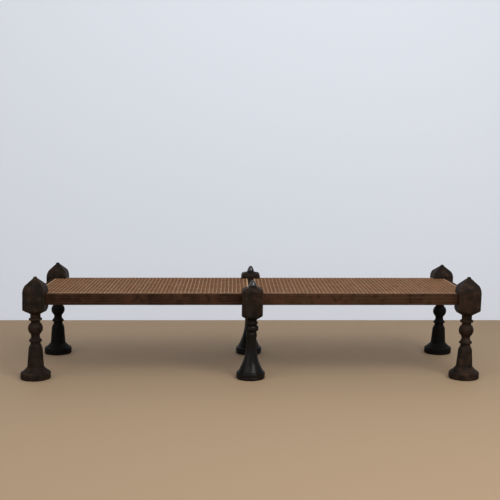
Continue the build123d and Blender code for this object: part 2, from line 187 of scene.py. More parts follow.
class TakhtStage(bpy.types.PropertyGroup):
    floor: colour("Floor", "Plain pale floor", linear(170, 144, 113))
    wall: colour("Wall", "Plain pale wall", linear(234, 240, 250))
    wall_shade: factor("Wall shade", "Share of its colour with which the wall lights the bench", 0.7)
    wall_glow: factor("Wall glow", "Even light on the wall as the eye or gloss sees it", 0.25)
    wall_gap: length("Wall gap", "From the middle of the bench back to the wall", 1.075)
    room: colour("Room light", "Colour of the soft light from all round", (0.93, 0.95, 1.0))
    room_strength: factor("Room strength", "Strength of the soft light from all round", 0.45)
    camera_place: lengths("Camera place", "Where the camera stands", (-0.0791, -3.9319, 0.8951))
    camera_tilt: angle("Camera tilt", "From straight down up to the camera's aim", 84.139)
    camera_turn: angle("Camera turn", "To the left of straight ahead", -1.062)
    camera_roll: angle("Camera roll", "Round the camera's own line of sight", 0.184)
    camera_lens: number("Lens", "Focal length on a 36 mm frame", 67.57, unit="CAMERA")


SETTINGS = {"legs": TakhtLegs, "rails": TakhtRails, "cane": TakhtCane, "stage": TakhtStage}


def settings(part):
    return getattr(bpy.context.scene, f"takht_{part}")


# ---------------------------------------------------------------- meshes
def middle_of(node):
    low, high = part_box(node)
    return (low + high) / 2


def make_piece(name, points, faces, uv, attributes, material, nodes, sharp=math.pi):
    """Adds one closed piece that stands for the named nodes and rides on the frame."""
    mesh = bpy.data.meshes.new(name)
    mesh.from_pydata(np.asarray(points).tolist(), [], faces)
    layer = mesh.uv_layers.new(name=MAP_NAME)
    layer.uv.foreach_set("vector", np.asarray(uv, np.float32).ravel())
    for label, values in attributes.items():
        held = mesh.attributes.new(label, "FLOAT", "POINT")
        held.data.foreach_set("value", np.asarray(values, np.float32))
    mesh.polygons.foreach_set("use_smooth", [True] * len(mesh.polygons))
    if sharp < math.pi:
        mesh.set_sharp_from_angle(angle=sharp)
    mesh.materials.append(material)
    mesh.validate()
    piece = bpy.data.objects.new(name, mesh)
    bpy.context.scene.collection.objects.link(piece)
    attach(piece, "root")
    if nodes:
        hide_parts(*nodes)


def tube_faces(rows, around):
    """Faces of a closed tube whose points run round each row, with a cap on each end."""
    faces = []
    for low in range(0, (rows - 1) * around, around):
        high = low + around
        for place in range(around):
            after = (place + 1) % around
            faces.append((low + place, low + after, high + after, high + place))
    faces.append(tuple(range(around))[::-1])
    faces.append(tuple(range((rows - 1) * around, rows * around)))
    return faces


def tube_map(distances, around):
    """Map corners for tube_faces: once round across the map, and the distances up it."""
    cap = 0.004  # radius of a cap on the map
    share = (np.asarray(distances) - distances[0]) / (distances[-1] - distances[0])
    up = 4 * cap + share * (1 - 8 * cap)
    across = np.linspace(0, 1, around + 1)
    corners = []
    for below, above in zip(up, up[1:]):
        for left, right in zip(across, across[1:]):
            corners += [(left, below), (right, below), (right, above), (left, above)]
    turns = np.linspace(0, 2 * math.pi, around, endpoint=False)
    for centre, order in ((2 * cap, turns[::-1]), (1 - 2 * cap, turns)):
        corners += [(0.5 + cap * math.cos(t), centre + cap * math.sin(t)) for t in order]
    return corners


def distances_along(path):
    """How far along the path each of its points lies."""
    steps = np.linalg.norm(np.diff(path, axis=0), axis=1)
    return np.concatenate(([0], np.cumsum(steps)))


def resample(path, spacing):
    """The path's points at even distances along it."""
    distances = distances_along(path)
    stations = np.linspace(0, distances[-1], max(2, round(distances[-1] / spacing) + 1))
    return np.column_stack([np.interp(stations, distances, column) for column in path.T])


def blur(path, reach):
    """The path smoothed over that many points, with its two ends held."""
    kernel = np.exp(-0.5 * (np.arange(-3 * reach, 3 * reach + 1) / reach) ** 2)
    kernel /= kernel.sum()
    padded = np.pad(path, ((3 * reach, 3 * reach), (0, 0)), mode="reflect", reflect_type="odd")
    return np.column_stack([np.convolve(column, kernel, "valid") for column in padded.T])


def thin_out(path, tolerance, widest):
    """Indices of the points that keep the path's shape, none further apart than widest."""
    kept = {0, len(path) - 1}
    spans = [(0, len(path) - 1)]
    while spans:
        first, last = spans.pop()
        if last - first < 2:
            continue
        chord = path[last] - path[first]
        reach = max(np.linalg.norm(chord), 1e-9)
        offsets = path[first + 1 : last] - path[first]
        along = np.clip(offsets @ chord / reach**2, 0, 1)
        misses = np.linalg.norm(offsets - along[:, None] * chord, axis=1)
        worst = int(misses.argmax())
        middle = first + 1 + worst
        if misses[worst] < tolerance:
            if reach < widest:
                continue
            middle = (first + last) // 2
        kept.add(middle)
        spans += [(first, middle), (middle, last)]
    return sorted(kept)


def curvature(path):
    """Signed curvature of a flat path, above zero where it bends round to the left."""
    first = np.gradient(path, axis=0)
    second = np.gradient(first, axis=0)
    speed = np.maximum(np.linalg.norm(first, axis=1), 1e-9)
    return (first[:, 0] * second[:, 1] - first[:, 1] * second[:, 0]) / speed**3


def bumps(points, size, seed):
    """Smooth noise from -1 to 1 at each point, with features of the given size."""
    shift = Vector((seed * 7.3, seed * 3.1, seed * 5.7))
    return np.array([noise.noise(Vector(p) / size + shift) for p in points])


# ---------------------------------------------------------------- legs
# Heights on a corner leg of the even pattern, from which each leg's own heights are moved.
BELL_BASE, BELL_TOP, BALL_TOP, HEAD_FOOT, SHOULDER = 0.0485, 0.14, 0.236, 0.283, 0.348
BUD_ABOVE_RAILS = 0.052  # from the middle of the rails up to the bud of a middle leg
CHIPPED_RIM, WORN_RIM = 0.0025, 0.0022  # an edge that bends this tightly is worn in full
KNOCKS_FROM = 0.25  # only the noise above this leaves a knock


def leg_names():
    corners = [f"corner_leg_{side}_{end}" for side in SIDES for end in ENDS]
    return corners + [f"middle_leg_{side}" for side in SIDES]


def rail_middle():
    low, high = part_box("cross_rail")
    return (low.z + high.z) / 2


def silhouette(node, step):
    """A leg's outline read from its solid: rows of face radius, corner radius and height."""
    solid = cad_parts[node].data
    low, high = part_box(node)
    axis = (low + high) / 2
    tree = BVHTree.FromPolygons(
        [vertex.co for vertex in solid.vertices], [face.vertices for face in solid.polygons]
    )
    outward = math.copysign(1, axis.y)
    aside = math.copysign(1, axis.x)
    corner_turn = math.radians(44.9)  # just off the arris, where a ray could slip through
    ways = (
        Vector((0, outward, 0)),
        Vector((aside * math.sin(corner_turn), outward * math.cos(corner_turn), 0)),
    )
    outside = high.x - low.x
    rows = [(0, 0, low.z)]
    for height in np.arange(low.z + step / 2, high.z, step):
        centre = Vector((axis.x, axis.y, height))
        hits = [tree.ray_cast(centre + way * outside, -way)[3] for way in ways]
        rows.append((outside - hits[0], outside - hits[1], height))
    rows.append((0, 0, high.z))
    return np.array(rows), axis


def head_half_width(node):
    """Half the width of a leg's square head, at the height of the rails."""
    coarse = 0.002
    rows, _ = silhouette(node, coarse)
    return float(np.interp(rail_middle(), rows[:, 2], rows[:, 0]))


def head_faces(end):
    """The inner faces of a half's corner head and middle head, as x and y above zero."""
    corner, middle = middle_of(f"corner_leg_back_{end}"), middle_of("middle_leg_back")
    corner_head = head_half_width(f"corner_leg_back_{end}")
    middle_head = head_half_width("middle_leg_back")
    outer = (abs(corner.x) - corner_head, corner.y - corner_head)
    return outer, (middle_head, middle.y - middle_head)


def turns_round_a_leg():
    """Angles round a leg, closer together towards the corners of its head."""
    half_quarter = [0, 6, 12, 18, 24, 30, 35, 39, 41.5, 43, 44, 45]
    quarter = half_quarter + [90 - turn for turn in half_quarter[-2:0:-1]]
    return np.radians([90 * count + turn for count in range(4) for turn in quarter])


def fuller_beads(rows, own):
    """A middle leg's outline with its three beads as full as the turner left them."""
    rows = rows.copy()
    radius, heights = rows[:, 0].copy(), rows[:, 2]
    lowest, highest = 0.4 * rail_middle(), 0.75 * rail_middle()  # the beads lie between these
    nearest, least_bulge = 0.01, 0.001  # between two beads, and of one beside the shaft
    reach = round(0.5 * nearest / own.reading_step)
    beside = np.arange(reach, len(rows) - reach)
    beside = beside[(heights[beside] > lowest) & (heights[beside] < highest)]
    stands_out = radius[beside] - np.maximum(radius[beside - reach], radius[beside + reach])
    peaks = []
    for row in beside[stands_out > least_bulge]:
        is_highest = radius[row] >= radius[row - reach : row + reach + 1].max()
        if is_highest and (not peaks or heights[row] - heights[peaks[-1]] > nearest):
            peaks.append(row)
    shaft = radius[beside].min()
    for peak, full_height, rise in zip(peaks, own.bead_heights, (0, own.bead_rise, 0)):
        away = (heights - heights[peak] - rise) / (full_height / 2)
        bead = shaft + (radius[peak] - shaft) * np.sqrt(np.clip(1 - away**2, 0, 1))
        bead[np.abs(away) > 1] = 0
        rows[:, :2] = np.maximum(rows[:, :2], bead[:, None])
    return rows


def rounder_bud(rows, own):
    """A middle leg's outline with the tip of its bud rubbed to a round shape."""
    fullness = 1.5
    up_the_bud = 1 - (rows[-1, 2] - rows[:, 2]) / own.bud_height
    round_side = np.sqrt(np.clip(1 - np.abs(up_the_bud) ** fullness, 0, 1)) * own.bud_width / 2
    round_side[up_the_bud < 0] = 0
    rows = rows.copy()
    rows[:, :2] = np.maximum(rows[:, :2], round_side[:, None])
    return rows


def dropped(rows, turnings, head_foot, tip):
    """A corner leg's outline with its parts at the heights where this leg has them."""
    marks = (BELL_BASE, BELL_TOP, BALL_TOP, HEAD_FOOT, SHOULDER, rows[-1, 2])
    rows = rows.copy()
    rows[:, 2] -= np.interp(rows[:, 2], marks, (0, turnings, turnings, head_foot, 0, tip))
    return rows


def rubbed_path(rows, own):
    """The outline with its edges rubbed, at as few points as its shape needs, and its bend."""
    spacing, tolerance = 0.0004, 0.00004
    path = blur(resample(rows, spacing), max(1, round(own.wear / spacing)))
    path[:, :2] = np.maximum(path[:, :2], 0)
    bend = curvature(path[:, [0, 2]])
    kept = thin_out(path, tolerance, own.row_gap)[1:-1]
    return path[kept], bend[kept]


def radii(face, corner, squareness, turns, own):
    """How far a leg reaches at each turn: a rubbed square, cut by the circle of its corners."""
    half_head, softening, quickness = 0.042, 0.002, 5
    power = math.log(2) / -math.log(1 - own.arris_wear / (half_head * math.sqrt(2)))
    across = (np.abs(np.cos(turns)) ** power + np.abs(np.sin(turns)) ** power) ** (1 / power)
    square = face / across
    soft = softening * np.clip(squareness * quickness, 0, 1) + 1e-9
    overlap = np.clip(soft - np.abs(square - corner), 0, None) / soft
    return np.minimum(square, corner) - overlap**2 * soft / 4


def rings(x, y, radius, turns, height):
    """Points round an upright axis, with one ring for each height."""
    places = (x + radius * np.cos(turns), y + radius * np.sin(turns), height)
    return np.stack(np.broadcast_arrays(*places), axis=-1).reshape(-1, 3)


def build_leg(node, seed, material):
    own = settings("legs")
    rows, axis = silhouette(node, own.reading_step)
    is_middle = "middle" in node
    if is_middle:
        rows = rounder_bud(fuller_beads(rows, own), own)
    rows = dropped(rows, *getattr(own, node.replace("corner_leg_", "") + "_drop", (0, 0, 0)))
    path, bend = rubbed_path(rows, own)
    turns = turns_round_a_leg()
    face, corner, height = (path[:, i, None] for i in range(3))
    squareness = np.clip((corner / face - 1) / (math.sqrt(2) - 1), 0, 1)
    radius = radii(face, corner, squareness, turns, own)

    arris_reach = 4  # degrees each side of a corner that knocks and rubbing take
    tip_fade, bud_fade, shaft_polish = 0.01, 0.004, 0.16
    near_arris = np.exp(-(((np.degrees(turns) % 90 - 45) / arris_reach) ** 2))
    even = rings(axis.x, axis.y, radius, turns, height)
    slow = bumps(even, own.hollow_size, seed).reshape(radius.shape)
    knocks = bumps(even, own.chip_size, seed + 20).reshape(radius.shape)
    knocks = np.clip(knocks - KNOCKS_FROM, 0, 1)
    radius = radius - own.hollow_depth * (0.5 + 0.5 * slow) * np.clip(radius / tip_fade, 0, 1)
    radius = radius - own.chip_depth * knocks * near_arris * squareness
    radius = radius - 0.5 * own.chip_depth * knocks * np.clip(bend * CHIPPED_RIM, 0, 1)[:, None]
    lean = own.lean + own.lean_spread * axis.x / abs(middle_of("corner_leg_back_right").x)
    racked = lean * (height / rail_middle() - 1)  # nothing at the rails, and most at the foot

    # The bud of a middle leg has the highest polish, its shaft less, and its head none.
    bud = np.clip((height - rail_middle() - BUD_ABOVE_RAILS) / bud_fade, 0, 1)
    polish = np.maximum(bud, shaft_polish * (1 - squareness)) * is_middle
    # The back legs are set darker than the front ones, above all below their heads: painted shade for
    # the shade beneath the bench. The front middle leg's turning is dark in its own wood.
    is_front = axis.y < 0
    head_tone = 0.5 if is_front else 0.2
    turned_tone = 0.5 if is_front and not is_middle else -0.45
    tone = turned_tone + (head_tone - turned_tone) * squareness

    def all_over(values):
        return np.broadcast_to(values, radius.shape).ravel()

    rim = np.clip(bend * WORN_RIM, 0, 1)[:, None]
    make_piece(
        node.replace("leg", "turned_leg"),
        rings(axis.x + racked, axis.y, radius, turns, height),
        tube_faces(len(path), len(turns)),
        tube_map(distances_along(path[:, [0, 2]]), len(turns)),
        {
            "wear": all_over(np.maximum(rim, near_arris * squareness)),
            "hollow": all_over(np.clip(-bend * WORN_RIM, 0, 1)[:, None]),
            "seed": np.full(radius.size, seed),
            "tone": all_over(tone),
            "polish": all_over(polish),
        },
        material,
        [node],
    )


# ---------------------------------------------------------------- rails
def rounded_rectangle(width, height, radius):
    """Points round a rectangle with rounded corners, and how near each is to a corner."""
    corners = ((1, 1), (-1, 1), (-1, -1), (1, -1))
    arcs = []
    for count, (sx, sy) in enumerate(corners):
        centre = np.array((sx * (width / 2 - radius), sy * (height / 2 - radius)))
        turns = np.radians([0, 22.5, 45, 67.5, 90]) + count * math.pi / 2
        arcs.append(centre + radius * np.column_stack((np.cos(turns), np.sin(turns))))
    points = []
    for arc, following in zip(arcs, arcs[1:] + arcs[:1]):
        side = following[0] - arc[-1]
        points += [*arc, *(arc[-1] + share * side for share in (0.08, 0.36, 0.64, 0.92))]
    wear = [0.35, 0.8, 1, 0.8, 0.35, 0.15, 0, 0, 0.15] * len(corners)
    return np.array(points), np.array(wear)


def build_rail(node, along, shoulders, seed, tone, material):
    """A rail swept along X or Y between two shoulders, with a tenon on each end."""
    own = settings("rails")
    low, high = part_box(node)
    centre = np.array((low + high) / 2)
    across = 1 - along
    width, height = high[across] - low[across], high.z - low.z
    section, section_wear = rounded_rectangle(width, height, own.edge_radius)
    tenon, _ = rounded_rectangle(own.tenon_thickness, own.tenon_height, own.tenon_radius)
    start, end = shoulders
    count = max(2, round((end - start) / own.station_gap))
    stations = [(place, tenon, 0) for place in (low[along], start)]
    stations += [(place, section, 1) for place in np.linspace(start, end, count + 1)]
    stations += [(place, tenon, 0) for place in (end, high[along])]
    points = np.zeros((len(stations), len(section), 3))
    for row, (place, outline, _) in enumerate(stations):
        points[row, :, along] = place
        points[row, :, across] = centre[across] + outline[:, 0]
        points[row, :, 2] = centre[2] + outline[:, 1]
    if along == 1:  # keeps the faces outwards when the sweep runs the other way
        points = points[:, ::-1]
        section_wear = section_wear[::-1]
    full = np.array([is_full for _, _, is_full in stations])
    flat = points.reshape(-1, 3)
    drawn_out = flat * np.array([0.35, 0.35, 1])  # planing marks run along the rail
    slow = bumps(drawn_out, own.planing_size, seed).reshape(points.shape[:2])
    knocks = bumps(flat, own.chip_size, seed + 9).reshape(points.shape[:2])
    knocks = np.clip(knocks - KNOCKS_FROM - 0.05, 0, 1)
    inward = points - centre
    inward[..., along] = 0
    inward /= np.maximum(np.abs(inward).max(axis=2, keepdims=True), 1e-6)
    depth = own.unevenness * (0.5 + 0.5 * slow) + own.chip_depth * knocks * section_wear**2
    points = points - inward * (depth * full[:, None])[..., None]
    places = np.array([place for place, _, _ in stations])
    apart = 0.01  # keeps two sections at one place apart on the map
    distances = places - places[0] + apart * np.arange(len(places))
    make_piece(
        f"planed_{node}",
        points.reshape(-1, 3),
        tube_faces(len(stations), len(section)),
        tube_map(distances, len(section)),
        {
            "wear": (section_wear * full[:, None]).ravel(),
            "seed": np.full(len(flat), seed),
            "tone": np.full(len(flat), tone),
        },
        material,
        [node],
        sharp=math.radians(60),
    )


# ---------------------------------------------------------------- cane
def ribbons(name, paths, material, nodes):
    """Flat strips with a crowned top that follow the paths, all in one piece.

    Each path is an array of points, an upward direction, a width and a thickness."""
    sections = np.array([(-0.5, -0.5), (0.5, -0.5), (0.3, 0.5), (-0.3, 0.5)])
    corners = len(sections)
    margin, streak_shift = 0.01, 3  # on the map, and in metres from one strip to another
    points, faces, uv = [], [], []
    along, tone, raised = [], [], []
    longest = max(distances_along(run[0])[-1] for run in paths)
    made = 0
    tones = np.random.default_rng(len(paths)).random(len(paths))
    for count, (path, above, *size) in enumerate(paths):
        sized = sections * size
        ahead = np.gradient(path, axis=0)
        ahead /= np.linalg.norm(ahead, axis=1, keepdims=True)
        side = np.cross(ahead, np.asarray(above))
        side /= np.linalg.norm(side, axis=1, keepdims=True)
        top = np.cross(side, ahead)
        ring = path[:, None] + side[:, None] * sized[:, :1] + top[:, None] * sized[:, 1:]
        flat = ring.reshape(-1, 3)
        points.append(flat)
        strip_faces = tube_faces(len(path), corners)
        faces += [tuple(made + corner for corner in face) for face in strip_faces]
        distances = distances_along(path)
        reach = distances[-1] / longest
        across, up = np.array(tube_map(distances, corners)).T
        up = margin + (1 - 2 * margin) * reach * up
        uv.append(np.column_stack((up, (count + across) / len(paths))))
        along.append(np.repeat(distances + streak_shift * tones[count], corners))
        tone.append(np.full(len(flat), tones[count]))
        # How high each point lies in its strand; the cane's finish darkens the low points as painted
        # shade with some dirt
        height = flat @ np.array(above)
        spread = max(np.ptp(height), size[1])
        raised.append((height - height.max() + spread) / spread)
        made += len(flat)
    kept = {"along": along, "tone": tone, "raised": raised}
    make_piece(
        name,
        np.concatenate(points),
        faces,
        np.concatenate(uv),
        {label: np.concatenate(values) for label, values in kept.items()},
        material,
        nodes,
        sharp=math.radians(75),
    )


class CaneLattice:
    """The lattice of one caned panel: its lacing lines, its pitches and its notches."""

    drift_waves = 14  # how many slow waves of drift there are to a metre
    edge_reach = 0.06  # how near a lacing line a strand's end counts as on it, in pitches
    lift_off = 0.35  # where an end starts to turn down, as a share of the way to its neighbour
    step, shortest = 0.05, 0.6  # of the search for a strand's runs, in pitches

    def __init__(self, end):
        own = settings("cane")
        self.sign = ENDS[end]
        low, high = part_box(f"cane_panel_{end}")
        self.bottom, self.top = low.z, high.z
        self.inner = abs(middle_of(f"binder_cross_rail_{end}").x)
        self.outer = abs(middle_of(f"binder_end_{end}").x)
        self.half = abs(middle_of(f"binder_back_{end}").y)
        self.columns = round((self.outer - self.inner) / own.pitch)
        self.rows = round(2 * self.half / own.pitch)
        self.pitch = ((self.outer - self.inner) / self.columns, 2 * self.half / self.rows)
        self.notches = head_faces(end)

    def place(self, column, row, height):
        """A lattice place as a point, with the slow drift of hand weaving."""
        own = settings("cane")
        x = self.inner + column * self.pitch[0]
        y = -self.half + row * self.pitch[1]
        spot = (x * self.drift_waves, y * self.drift_waves)
        drift_x = noise.noise(Vector((*spot, 1.5 + self.sign)))
        drift_y = noise.noise(Vector((*spot, 7.5 + self.sign)))
        return (self.sign * (x + own.drift * drift_x), y + own.drift * drift_y, height)

    def inside(self, column, row):
        """Whether a lattice place lies on the panel and clear of the heads."""
        x = self.inner + column * self.pitch[0]
        y = abs(-self.half + row * self.pitch[1])
        (outer_x, outer_y), (inner_x, inner_y) = self.notches
        on_panel = -1e-6 <= column <= self.columns + 1e-6 and y <= self.half + 1e-6
        return on_panel and not (x > outer_x and y > outer_y) and not (x < inner_x and y > inner_y)

    def tucked(self, path, start, step, run):
        """The path with each end that reaches a lacing line turned down into its hole."""
        own = settings("cane")
        for end, beside in ((0, 1), (-1, -2)):
            column, row = (start[axis] + run[end] * step[axis] for axis in (0, 1))
            on_line = min(abs(column), abs(column - self.columns), abs(row), abs(row - self.rows))
            if on_line < self.edge_reach:
                low = path[end].copy()
                lifted = path[end] + (path[beside] - path[end]) * self.lift_off
                lifted[2] = self.bottom + own.thickness / 2
                low[2] = self.bottom - own.dip
                path = np.insert(path, 1 if end == 0 else len(path) - 1, lifted, axis=0)
                path[end] = low
        return path

    def runs(self, start, step, stations):
        """The stretches of a straight strand that lie on the panel, as lists of stations."""

        def is_on_panel(station):
            return self.inside(start[0] + station * step[0], start[1] + station * step[1])

        between = np.arange(stations[0], stations[-1], self.step)
        fine = np.unique(np.concatenate((stations, between)))
        wanted = set(np.round(stations, 6))
        found = []
        for is_inside, stretch in groupby(fine, is_on_panel):
            first, *rest = stretch
            last = rest[-1] if rest else first
            if is_inside and last - first > self.shortest:
                kept = [station for station in rest if round(float(station), 6) in wanted]
                found.append(np.unique(np.round([first, *kept, last], 5)))
        return found


def crossing_levels(kind, pair, share):
    """Where along a strand, within one pitch, it crosses others, and how high it runs there.

    kind is "along" or "across" for the straight pairs and "rising" or "falling" for the
    diagonals. A straight strand goes over one strand of each crossing pair and under the
    other. A diagonal slips between the two at every crossing, and over or under the other
    diagonal at the middle of each square."""
    if kind in ("along", "across"):
        over = pair if kind == "across" else -pair
        return [(-share / 2, -over), (0, 0), (share / 2, over), (0.5, 0)]
    middle = 0.5 if kind == "rising" else -0.5
    return [(-share / 2, 0), (0, middle), (share / 2, 0), (0.5, middle)]


def strand_paths(lattice, kind):
    """Every strand of one direction, as a path, its upward direction and its size."""
    own = settings("cane")
    share = own.pair_share
    columns, rows = lattice.columns, lattice.rows
    pairs = (-1, 1)
    # Each strand's start and step on the lattice, and which of its pair it is.
    starts = {
        "along": [((0, r + p * share / 2), (1, 0), p) for r in range(1, rows) for p in pairs],
        "across": [((c + p * share / 2, 0), (0, 1), p) for c in range(1, columns) for p in pairs],
        "rising": [((offset, 0), (1, 1), 0) for offset in range(1 - rows, columns)],
        "falling": [((offset, 0), (-1, 1), 0) for offset in range(1, columns + rows)],
    }
    random = np.random.default_rng(list(starts).index(kind))
    reach = columns if kind == "along" else rows
    unevenness = 0.012  # of the spacing of the strands, in pitches
    middle_height = (lattice.bottom + lattice.top) / 2
    paths = []
    for start, step, pair in starts[kind]:
        levels = crossing_levels(kind, pair, share)
        nudge = random.normal(0, unevenness, 2)
        start = (start[0] + nudge[0] * step[1], start[1] + nudge[1] * step[0])
        marks = [
            (count + offset, level * own.layer)
            for count in range(reach + 1)
            for offset, level in levels
            if -0.01 <= count + offset <= reach + 0.01
        ]
        stations, heights = np.array(marks).T
        for run in lattice.runs(start, step, stations):
            lift = middle_height + np.interp(run, stations, heights)
            path = np.array(
                [
                    lattice.place(start[0] + s * step[0], start[1] + s * step[1], z)
                    for s, z in zip(run, lift)
                ]
            )
            paths.append((lattice.tucked(path, start, step, run), UP, own.width, own.thickness))
    return paths


def build_cane(end, handled_lit, shaded):
    lattice = CaneLattice(end)
    labels = {
        "across": "front_to_back_strands",
        "along": "end_to_end_strands",
        "rising": "rising_diagonals",
        "falling": "falling_diagonals",
    }
    for kind, label in labels.items():
        # The front-to-back strands take the paler, lit copy of the cane and all others the darker
        # copy: painted light and painted shade
        material = handled_lit if kind == "across" else shaded
        paths = strand_paths(lattice, kind)
        ribbons(f"cane_{label}_{end}", paths, material, [f"cane_panel_{end}"])


def build_binder(node, material):
    """A flat strip over the lacing holes, tied down by a fine strand at every second hole."""
    own = settings("cane")
    low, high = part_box(node)
    along = 0 if high.x - low.x > high.y - low.y else 1
    start, end = (np.array((low + high) / 2) for _ in range(2))
    start[along], end[along] = low[along], high[along]
    start[2] = end[2] = low.z
    height = high.z - low.z
    width = min(high.x - low.x, high.y - low.y)
    reach = np.linalg.norm(end - start)
    ahead = (end - start) / reach
    aside = np.array((-ahead[1], ahead[0], 0))
    stitch = own.thickness * 0.5
    strip = height - stitch
    station_gap, sway_waves, rise_waves = 0.006, 30, 55  # metres, and waves in a metre
    shares = np.linspace(0, 1, round(reach / station_gap) + 1)
    centre = start + shares[:, None] * (end - start)
    sway = np.array([noise.noise(Vector(p) * sway_waves + UP) for p in centre])
    rise = np.array([noise.noise(Vector(p) * rise_waves) for p in centre])
    centre = centre + aside * sway[:, None] * own.sway
    centre[:, 2] += strip / 2 + rise * 0.2 * own.sway
    paths = [(centre, UP, width, strip)]
    count = max(2, round(reach / (2 * own.pitch)))
    half = width / 2
    hug, turn_down = half + 0.0002, half + 0.0009
    across = np.array((-turn_down, -hug, -half * 0.6, half * 0.6, hug, turn_down))
    lift = np.array((-1.6, 0.3, 0.92, 0.92, 0.3, -1.6)) * (height - stitch / 2)
    slant = 0.0012 * across / half
    for place_along in (np.arange(count) + 0.5) * reach / count:
        tie = start + aside * across[:, None] + ahead * (place_along + slant[:, None])
        tie[:, 2] += lift
        paths.append((tie, UP + Vector(ahead) * 0.01, own.stitch_width, stitch))
    ribbons(node.replace("binder", "bound_edge"), paths, material, [node])


def build_lacing(end, material):
    """Short loops of cane from hole to hole under the rails of one panel."""
    own = settings("cane")
    lattice = CaneLattice(end)
    columns, rows = lattice.columns, lattice.rows
    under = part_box("cross_rail")[0].z
    random = np.random.default_rng(7)
    shares = np.array((0.02, 0.08, 0.2, 0.8, 0.92, 0.98))
    depths = np.array((-1.5, -0.1, 0.5, 0.5, -0.1, -1.5)) * own.thickness
    lines = [((0, 0), (1, 0), columns), ((0, rows), (1, 0), columns)]
    lines += [((0, 0), (0, 1), rows), ((columns, 0), (0, 1), rows)]
    paths = []
    for start, step, count in lines:
        for hole in range(count):
            column, row = (start[axis] + hole * step[axis] for axis in (0, 1))
            holes = [(column + share * step[0], row + share * step[1]) for share in (0, 1)]
            if not all(lattice.inside(*place) for place in holes):
                continue
            first, second = (np.array(lattice.place(*place, 0)) for place in holes)
            slip = random.normal(0, own.slip, 3)
            loop = first + shares[:, None] * (second - first) + slip * (1, 1, 0)
            loop[:, 2] = under - depths
            paths.append((loop, -UP, own.width, own.thickness * 0.8))
    ribbons(f"lacing_under_rails_{end}", paths, material, [])


# ---------------------------------------------------------------- shader helpers
def add(tree, kind, *values, named=None, **options):
    """Adds a node. values fill its inputs in order, and a socket given as a value is linked."""
    node = tree.nodes.new(f"ShaderNode{kind}")
    for key, value in options.items():
        setattr(node, key, value)
    pairs = list(zip(node.inputs, values))
    pairs += [(node.inputs[key], value) for key, value in (named or {}).items()]
    for socket, value in pairs:
        feed(tree, socket, value)
    return node


def feed(tree, socket, value):
    """Links a socket to another one, or sets it to a plain value."""
    if isinstance(value, bpy.types.NodeSocket):
        tree.links.new(value, socket)
    else:
        socket.default_value = value


def maths(tree, operation, *values, clamp=False):
    return add(tree, "Math", *values, operation=operation, use_clamp=clamp).outputs[0]


def times(tree, first, second, clamp=False):
    return maths(tree, "MULTIPLY", first, second, clamp=clamp)


def plus(tree, value, share, base, clamp=False):
    """The base with that share of the value added."""
    return maths(tree, "MULTIPLY_ADD", value, share, base, clamp=clamp)


def stretched(tree, vector, scales):
    return add(tree, "VectorMath", vector, scales, operation="MULTIPLY").outputs[0]


def mix(tree, share, first, second):
    """A colour between two colours."""
    node = add(tree, "Mix", share, data_type="RGBA")
    for index, value in ((6, first), (7, second)):
        is_socket = isinstance(value, bpy.types.NodeSocket)
        feed(tree, node.inputs[index], value if is_socket else (*value[:3], 1))
    return node.outputs[2]


def ramp(tree, value, low, high):
    """value from low to high, as 0 to 1 with soft ends."""
    return add(tree, "MapRange", value, low, high, interpolation_type="SMOOTHSTEP").outputs[0]


def attributes(tree, *names):
    return [add(tree, "Attribute", attribute_name=name).outputs["Fac"] for name in names]


def noise_at(tree, vector, scale, detail=3.0, roughness=0.55):
    named = {"Scale": scale, "Detail": detail, "Roughness": roughness}
    return add(tree, "TexNoise", vector, named=named).outputs["Fac"]


def new_group(name, **numbers_in):
    """A shader group that takes a Vector and these numbers, and its input sockets."""
    tree = bpy.data.node_groups.new(name, "ShaderNodeTree")
    tree.interface.new_socket("Vector", in_out="INPUT", socket_type="NodeSocketVector")
    for label, default in numbers_in.items():
        socket = tree.interface.new_socket(
            label.replace("_", " "), in_out="INPUT", socket_type="NodeSocketFloat"
        )
        socket.default_value = default
    return tree, tree.nodes.new("NodeGroupInput").outputs


def put_out(tree, **results):
    """Gives a group these named outputs, and hands it back."""
    for label in results:
        tree.interface.new_socket(label, in_out="OUTPUT", socket_type="NodeSocketFloat")
    out = tree.nodes.new("NodeGroupOutput")
    for label, value in results.items():
        tree.links.new(value, out.inputs[label])
    return tree


def wood_grain_group():
    """Growth rings, fibres and open pores of wood that grew along Z."""
    pith_x, pith_y, waver_depth = 0.05, 0.035, 0.03  # metres
    along_the_grain = 0.06  # how slowly everything changes along Z
    tree, given = new_group("wood_grain", Seed=0.0, Ring_Spacing=0.006)
    vector, seed, ring_spacing = given["Vector"], given["Seed"], given["Ring Spacing"]
    shift = add(tree, "CombineXYZ", *(times(tree, seed, share) for share in (0.37, 0.23, 0.71)))
    moved = add(tree, "VectorMath", vector, shift.outputs[0]).outputs[0]
    drawn_out = stretched(tree, moved, (1, 1, along_the_grain))
    waver = noise_at(tree, drawn_out, 14.0)
    parts = add(tree, "SeparateXYZ", vector).outputs
    pith = maths(tree, "SINE", times(tree, seed, 2.1))
    off_x = plus(tree, pith, pith_x, parts[0])
    off_y = maths(tree, "ADD", parts[1], pith_y)
    squares = maths(tree, "ADD", times(tree, off_x, off_x), times(tree, off_y, off_y))
    bent = plus(tree, waver, waver_depth, maths(tree, "SQRT", squares))
    turn = times(tree, maths(tree, "DIVIDE", bent, ring_spacing), 2 * math.pi)
    specks = noise_at(tree, drawn_out, 1100.0, 1.0, 0.5)
    return put_out(
        tree,
        Rings=plus(tree, maths(tree, "SINE", turn), 0.5, 0.5),
        Fibre=noise_at(tree, drawn_out, 420.0, 3.0, 0.6),
        Pores=ramp(tree, specks, 0.62, 0.72),
    )


